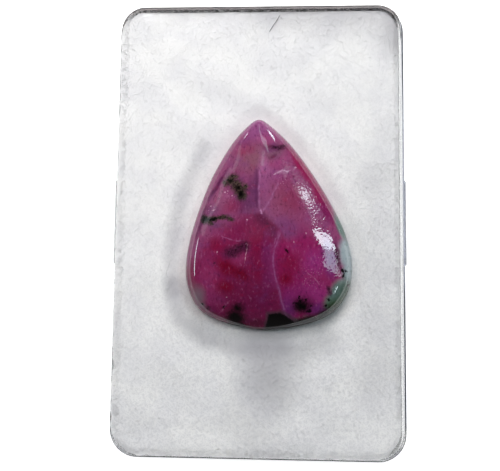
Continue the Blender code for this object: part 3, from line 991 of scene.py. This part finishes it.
def ruby_colour(tree, here, drift, ragged):
    """The body of the stone: mauve ruby above, raspberry and crimson below, and its cracks, with
    painted glints and a painted dark reflection along the left crease.

    Silk is its fine streaks, sugar its grains of under half a millimetre, and haze and bloom are
    its clouds of a millimetre or more.
    """
    drawn_out = add(tree, "Mapping", {}, {0: drift, 3: (1.0, 0.4, 1.0)})
    silk = add(tree, "TexNoise", {}, in_lumps(drawn_out, 0.34, 3.0, 0.6))
    sugar = add(tree, "TexNoise", {}, in_lumps(ragged, 0.42, 4.0, 0.75))
    haze = add(tree, "TexNoise", {}, in_lumps(drift, 1.5, 3.0, 0.6))
    elsewhere = add(tree, "Mapping", {}, {0: drift, 1: (31, 17, 5)})
    bloom = add(tree, "TexNoise", {}, in_lumps(elsewhere, 1.1, 3.0, 0.6))
    body = stained(tree, "#86385F", "#8A4876", haze)
    body = clouded(tree, body, drift, RUBY_CLOUDS)

    deep = angular(tree, ragged, DEEP_BORDER, 0.35)
    deep = joined(tree, [deep, left_of(tree, drift, *DEEP_LEFT, 1.5)], "MINIMUM")
    body = stained(tree, body, "#761242", deep, 0.9)
    right = angular(tree, drift, RIGHT_DEEP, 0.9)
    body = stained(tree, body, "#8C1A56", right, 0.8)
    body = clouded(tree, body, drift, DEEP_CLOUDS)

    for tint, noise, low, high, amount in (
        ("#703068", haze, 0.50, 0.78, 0.40),
        ("#961440", bloom, 0.54, 0.80, 0.35),
        ("#3A0826", sugar, 0.46, 0.26, 0.60),
        ("#B8688E", sugar, 0.58, 0.80, 0.16),
        ("#440C34", silk, 0.46, 0.26, 0.55),
        ("#B06490", silk, 0.55, 0.76, 0.35),
    ):
        body = toned(tree, body, tint, noise, low, high, amount)

    broken = add(tree, "TexNoise", {}, in_lumps(here, 0.55))
    for tint, amount, width, gaps, points in CRACKS_AND_GLINT_LINES:
        mask = bent_band(tree, ragged, points, width)
        left = add(tree, "MapRange", EASED, {0: broken, 1: 0.36, 2: 0.60, 3: 1 - gaps})
        mask = joined(tree, [mask, left], "MULTIPLY")
        body = stained(tree, body, tint, mask, amount)
    # painted glints: sparks of highlight scattered through the glint fields, and bright dots
    glint_noise = add(tree, "TexNoise", {}, in_lumps(here, 0.20, 1.0))
    painted_glints = add(tree, "MapRange", EASED, {0: glint_noise, 1: 0.66, 2: 0.74})
    painted_glints = joined(tree, [painted_glints, grains(tree, drift, GLINT_FIELDS)], "MULTIPLY")
    body = stained(tree, body, "#D898BC", painted_glints, 0.55)
    glint_dots = grains(tree, ragged, [(*dot, 0, 0.8) for dot in GLINT_DOTS])
    return stained(tree, body, "#E0ACC8", glint_dots, 0.75)


def zoisite_colour(tree, ragged):
    """Pale blue-green zoisite that turns to grass green, and nearly black along the foot."""
    down = add(tree, "SeparateXYZ", {}, {0: ragged}, "Y")
    body = toned(tree, "#465F40", "#9AA8AE", down, -10.2, -7.6)
    body = stained(tree, body, "#5C7272", grain(tree, ragged, *TEAL_PATCH), 0.85)
    body = toned(tree, body, "#4C6660", down, -3.6, -1.2)
    body = toned(tree, body, "#0E120A", down, -11.4, -13.4)
    cloud = add(tree, "TexNoise", {}, in_lumps(ragged, 1.4, 3.0, 0.6))
    body = toned(tree, body, "#5C7468", cloud, 0.50, 0.72, 0.6)
    grit = add(tree, "TexNoise", {}, in_lumps(ragged, 0.45, 4.0, 0.7))
    body = toned(tree, body, "#2C3A28", grit, 0.55, 0.74, 0.5)
    return toned(tree, body, "#B4C0BC", grit, 0.42, 0.30, 0.3)


def stone_material():
    """Ruby in zoisite, lapped and polished: sugary raspberry ruby, black hornblende grains with
    ragged edges, and green zoisite along one side, all under a high gloss."""
    made, tree, shader = new_material("ruby_in_zoisite_polished", {"IOR": 1.70})
    here = in_millimetres(tree)
    drift = crumbled(tree, here, 2.2, 0.8)
    ragged = crumbled(tree, crumbled(tree, here, 1.6, 0.3), 0.35, 0.30, 3.0)
    feathery = crumbled(tree, ragged, 0.34, 0.80, 4.0)

    body = ruby_colour(tree, here, drift, ragged)
    green = grains(tree, ragged, ZOISITE)
    body = stained(tree, body, zoisite_colour(tree, ragged), green)

    margin = angular(tree, ragged, FOOT_MARGIN, 0.30)
    body = stained(tree, body, "#37343A", margin, 0.65)
    body = stained(tree, body, "#70606C", grains(tree, drift, GREY_SMUDGES), 0.75)
    flecks = add(tree, "TexNoise", {}, in_lumps(feathery, 0.26, 3.0, 0.7))
    dim = grains(tree, feathery, DIM_GRAINS)
    plum = toned(tree, "#160610", "#4A1A38", flecks, 0.38, 0.58)
    body = stained(tree, body, plum, dim, 0.88)
    olive = grains(tree, feathery, OLIVE_GRAINS)
    moss = toned(tree, "#120E0C", "#423E2C", flecks, 0.40, 0.58)
    moss = toned(tree, moss, "#6A3050", flecks, 0.60, 0.72, 0.7)
    body = stained(tree, body, moss, olive, 0.92)
    black = grains(tree, feathery, BLACK_GRAINS)
    black = joined(tree, [black, angular(tree, ragged, FOOT_PATCH, 0.18)])
    body = stained(tree, body, "#030202", black, 0.99)
    tree.links.new(body, shader.inputs["Base Color"])

    # the side near the flat back is as it was ground, and barely shines
    level = add(tree, "SeparateXYZ", {}, {0: here}, "Z")
    low, high = GROUND_TO_POLISHED
    dull = add(tree, "MapRange", EASED, {0: level, 1: low, 2: high, 3: 0.80, 4: 0.04})
    tree.links.new(dull, shader.inputs["Roughness"])

    # the polish: glassy, but the right flank kept the fine pits of the last lap
    flank = bent_band(tree, drift, FLANK_GRIT, 2.6)
    grit = add(tree, "MapRange", EASED, {0: flank, 1: 0.1, 2: 0.75})
    share = add(tree, "Math", {"operation": "MULTIPLY_ADD"}, {0: grit, 1: 0.95, 2: 0.05})
    peel = add(tree, "TexNoise", {}, in_lumps(here, 0.43, 1.0))
    height = add(tree, "Math", {"operation": "MULTIPLY"}, {0: peel, 1: share})
    sockets = {"Height": height, "Strength": 1.0, "Distance": 0.018 * MM}
    tree.links.new(add(tree, "Bump", {}, sockets), shader.inputs["Normal"])
    return made


# Painted shade on the wadding: greyer where the stone's shadow falls round its left side and foot
# and in a broad band below it, and along the right side and the far edge. How grey, how far and
# along what line
PAINTED_SHADE_LINES = (
    (0.34, 2.2, ((-8.8, 12.4), (-11.4, 7.1), (-13.1, 1.4), (-13.8, -4.9), (-13.5, -10.4))),
    (0.42, 2.4, ((-13.5, -9.4), (-12.2, -14.8), (-8.0, -18.0), (-2.5, -19.2), (3.7, -19.0))),
    (0.46, 7.5, ((1.0, -19.0), (2.2, -24.0))),
    (0.20, 7.5, ((0.6, -22.0), (0.4, -34.0))),
    (0.18, 6.0, ((18.5, 10.0), (18.5, -24.0))),
    (0.50, 7.0, ((-14.0, 39.0), (24.0, 38.4), (24.0, 30.0))),
    (0.40, 7.5, ((2.0, 36.0), (22.0, 35.5))),
    (0.30, 4.5, ((6.0, -19.5), (10.5, -18.0))),
)
# The strands show more towards the near right, which this turns to -Y
COARSE_WAY = (0, 0, math.radians(-30))


def strands(tree, where, turn):
    """Noise drawn out into strands about a fifth of a millimetre thick, turned by degrees. Real
    fibres are finer than that, and too fine to show."""
    sockets = {"Vector": where, "Rotation": (0, 0, math.radians(turn)), "Scale": (3.6, 1.0, 1.0)}
    placed = add(tree, "Mapping", {"vector_type": "TEXTURE"}, sockets)
    return add(tree, "TexNoise", {}, in_lumps(placed, 0.20, 1.0))


def pad_material(name):
    """Bonded polyester wadding: white, matt and fuzzy, with a soft sheen where fibres lie flat."""
    sockets = {"Roughness": 0.95, "Sheen Weight": 0.2, "Sheen Roughness": 0.6, "IOR": 1.45}
    made, tree, shader = new_material(name, sockets)
    here = in_millimetres(tree)
    mottle = add(tree, "TexNoise", {}, in_lumps(here, 6.0))
    matted = joined(tree, [strands(tree, here, turn) for turn in (20, 80, 140)])
    gaps = add(tree, "MapRange", EASED, {0: matted, 1: 0.66, 2: 0.48})
    turned = add(tree, "Mapping", {}, {0: here, 2: COARSE_WAY})
    down = add(tree, "SeparateXYZ", {}, {0: turned}, "Y")
    coarse = add(tree, "MapRange", EASED, {0: down, 1: 24, 2: -22, 3: 0.05, 4: 0.26})
    white = toned(tree, "#F7F7F6", "#F0F0F1", mottle, 0.35, 0.65)
    # painted shade: greyer along each line where shadow falls
    for shadow_grey, width, points in PAINTED_SHADE_LINES:
        white = stained(tree, white, "#94929A", bent_band(tree, here, points, width), shadow_grey)
    white = stained(tree, white, "#BCBEC4", joined(tree, [gaps, coarse], "MULTIPLY"))
    tree.links.new(white, shader.inputs["Base Color"])
    sockets = {"Height": matted, "Strength": 1.0, "Distance": 0.025 * MM}
    tree.links.new(add(tree, "Bump", {}, sockets), shader.inputs["Normal"])
    return made


# Painted shade on the top of the rim, for the dark surroundings that it mirrors and lets through:
# dark brown at the far side, slate blue along the right side's outer edge, and grey in uneven
# stretches at the near side. RIM_TOP is the levels between which that begins
FAR_RIM = ((-22.6, 31.4), (-22.2, 34.2), (-20.2, 35.8), (20.2, 35.8), (21.9, 34.6))
RIGHT_RIM = ((22.9, 33.0), (23.15, 29.0), (23.15, -31.0))
NEAR_RIM = ((-22.9, -30.0), (-22.4, -34.4), (-19.6, -36.4), (19.6, -36.4), (22.4, -34.4))
RIM_TOP = (9.0, 10.0)


def tray_material():
    """Clear polystyrene, injection moulded: water clear, with a faint ripple from the mould, and
    painted shade along the top of its rim.
    """
    sockets = {"Transmission Weight": 0.82, "IOR": 1.59, "Roughness": 0.03}
    made, tree, shader = new_material("clear_polystyrene_moulded", sockets)
    here = in_millimetres(tree)
    haze = add(tree, "TexNoise", {}, in_lumps(here, 6.0))
    clear = toned(tree, "#F6F7F8", "#FBFCFC", haze, 0.3, 0.7)
    level = add(tree, "SeparateXYZ", {}, {0: here}, "Z")
    high = add(tree, "MapRange", EASED, {0: level, 1: RIM_TOP[0], 2: RIM_TOP[1]})
    blotches = add(tree, "TexNoise", {}, in_lumps(here, 2.4))
    # painted shade on the rim's top: dark brown at the far side, grey at the near side
    far_rim_shade = toned(tree, "#332B2C", "#544A4B", blotches, 0.3, 0.7)
    near_rim_shade = toned(tree, "#34373E", "#80848C", blotches, 0.3, 0.7)
    for points, width, tint, amount in (
        (FAR_RIM, 3.0, far_rim_shade, 0.97),
        (RIGHT_RIM, 0.8, "#525A78", 0.85),
        (NEAR_RIM, 1.1, near_rim_shade, 0.95),
    ):
        rim = joined(tree, [bent_band(tree, here, points, width), high], "MULTIPLY")
        clear = stained(tree, clear, tint, rim, amount)
    tree.links.new(clear, shader.inputs["Base Color"])
    ripple = add(tree, "TexNoise", {}, in_lumps(here, 3.0))
    sockets = {"Height": ripple, "Strength": 0.5, "Distance": 0.02 * MM}
    tree.links.new(add(tree, "Bump", {}, sockets), shader.inputs["Normal"])
    return made


def hair_material():
    """A stray textile fibre, dyed dark grey, with the dye a little uneven along it."""
    made, tree, shader = new_material("stray_textile_fibre", {"Roughness": 0.5})
    uneven = add(tree, "TexNoise", {}, in_lumps(in_millimetres(tree), 0.5))
    dye = toned(tree, "#2E2C2C", "#4E4A4A", uneven, 0.35, 0.65)
    tree.links.new(dye, shader.inputs["Base Color"])
    return made


# ================================================================ the studio


def area_light(name, azimuth, elevation, roll, distance, width, height, radiance):
    """An area light that looks at the stone. Azimuth is counter-clockwise from +X, in degrees."""
    lamp = bpy.data.lights.new(name, "AREA")
    lamp.shape = "RECTANGLE"
    lamp.size = width
    lamp.size_y = height
    lamp.energy = radiance * math.pi * width * height
    made = to_scene(name, lamp)
    a, e = math.radians(azimuth), math.radians(elevation)
    back = Vector((math.cos(a) * math.cos(e), math.sin(a) * math.cos(e), math.sin(e)))
    made.location = Vector((0, 0, TRAY_HEIGHT)) + back * distance
    turn = Quaternion((0, 0, 1), math.radians(roll))
    made.rotation_euler = ((-back).to_track_quat("-Z", "Y") @ turn).to_euler()
    made.visible_camera = False
    return made


def soft_room():
    """Even white walls, brightest at the far left, under a dim ceiling with one soft bright
    panel high up on the far side."""
    world = bpy.data.worlds.new("soft_room")
    bpy.context.scene.world = world
    world.use_nodes = True
    tree = world.node_tree
    way = add(tree, "TexCoord", {}, {}, "Generated")
    up = add(tree, "SeparateXYZ", {}, {0: way}, "Z")
    across = add(tree, "VectorMath", {"operation": "DOT_PRODUCT"}, {0: way, 1: BRIGHT_SIDE}, "Value")
    sockets = {0: across, 1: -WALL_TURN, 2: WALL_TURN, 3: WALL_NEAR, 4: WALL_FAR}
    wall = add(tree, "MapRange", EASED, sockets)
    low = add(tree, "MapRange", EASED, {0: up, 1: WALL_TOP[0], 2: WALL_TOP[1]})
    sockets = {0: wall, 1: low, 2: CEILING}
    room = add(tree, "Math", {"operation": "MULTIPLY_ADD"}, sockets)
    toward = add(tree, "VectorMath", {"operation": "DOT_PRODUCT"}, {0: way, 1: FAR_PANEL}, "Value")
    edge, middle = FAR_PANEL_EDGE
    panel = add(tree, "MapRange", EASED, {0: toward, 1: edge, 2: middle, 4: FAR_PANEL_LIGHT})
    room = add(tree, "Math", {"operation": "ADD"}, {0: room, 1: panel})
    background = tree.nodes["Background"]
    background.inputs["Color"].default_value = (1, 1, 1, 1)
    tree.links.new(room, background.inputs["Strength"])


def make_studio():
    scene = bpy.context.scene
    scene.view_settings.view_transform = "Standard"
    bm = bmesh.new()
    bmesh.ops.create_grid(bm, x_segments=1, y_segments=1, size=FLOOR_REACH)
    bmesh.ops.translate(bm, verts=bm.verts, vec=(0, 0, -FLOOR_DROP))
    floor = to_object(bm, "floor")
    sockets = {"Roughness": 0.9, "Base Color": colour("#FAFAFA"), "Emission Color": (1, 1, 1, 1)}
    sockets["Emission Strength"] = FLOOR_GLOW
    floor.data.materials.append(new_material("pale_floor", sockets)[0])
    soft_room()
    for lamp in WINDOWS:
        area_light(*lamp).data.color = WINDOW_TINT
    for lamp in SOFT_LIGHTS:
        made = area_light(*lamp)
        made.data.color = SOFT_TINT
        made.visible_glossy = False

    lens = bpy.data.cameras.new("camera")
    lens.sensor_width = SENSOR_WIDTH
    lens.lens = SENSOR_WIDTH * FOCAL_PX / FRAME_PX
    lens.clip_start = 0.005
    lens.clip_end = 10.0
    camera = to_scene("camera", lens)
    back = (CAMERA_PLACE - CAMERA_AIM).normalized()
    right = CAMERA_UP.cross(back).normalized()
    turned = Matrix((right, back.cross(right), back)).transposed()
    camera.matrix_world = turned.to_4x4()
    camera.location = CAMERA_PLACE
    scene.camera = camera


# ================================================================ putting it together


def dress(piece, finish, replaced=None):
    piece.data.materials.clear()
    piece.data.materials.append(finish)
    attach(piece, "root")
    if replaced:
        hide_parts(replaced)


def build():
    make_studio()
    edge = Outline()
    dress(make_stone(edge), stone_material(), "ruby_in_zoisite")
    fleece = pad_material("white_wadding_bonded")
    pad = make_pad(edge)
    dress(pad, fleece, "fibre_pad")
    for layer in range(TOP_LAYERS):
        dress(make_top_fibres(layer, edge), fleece)
    dress(make_edge_fibres(edge), fleece)
    dress(make_tray(), tray_material(), "clear_tray")
    dress(make_hair(edge), hair_material())


build()
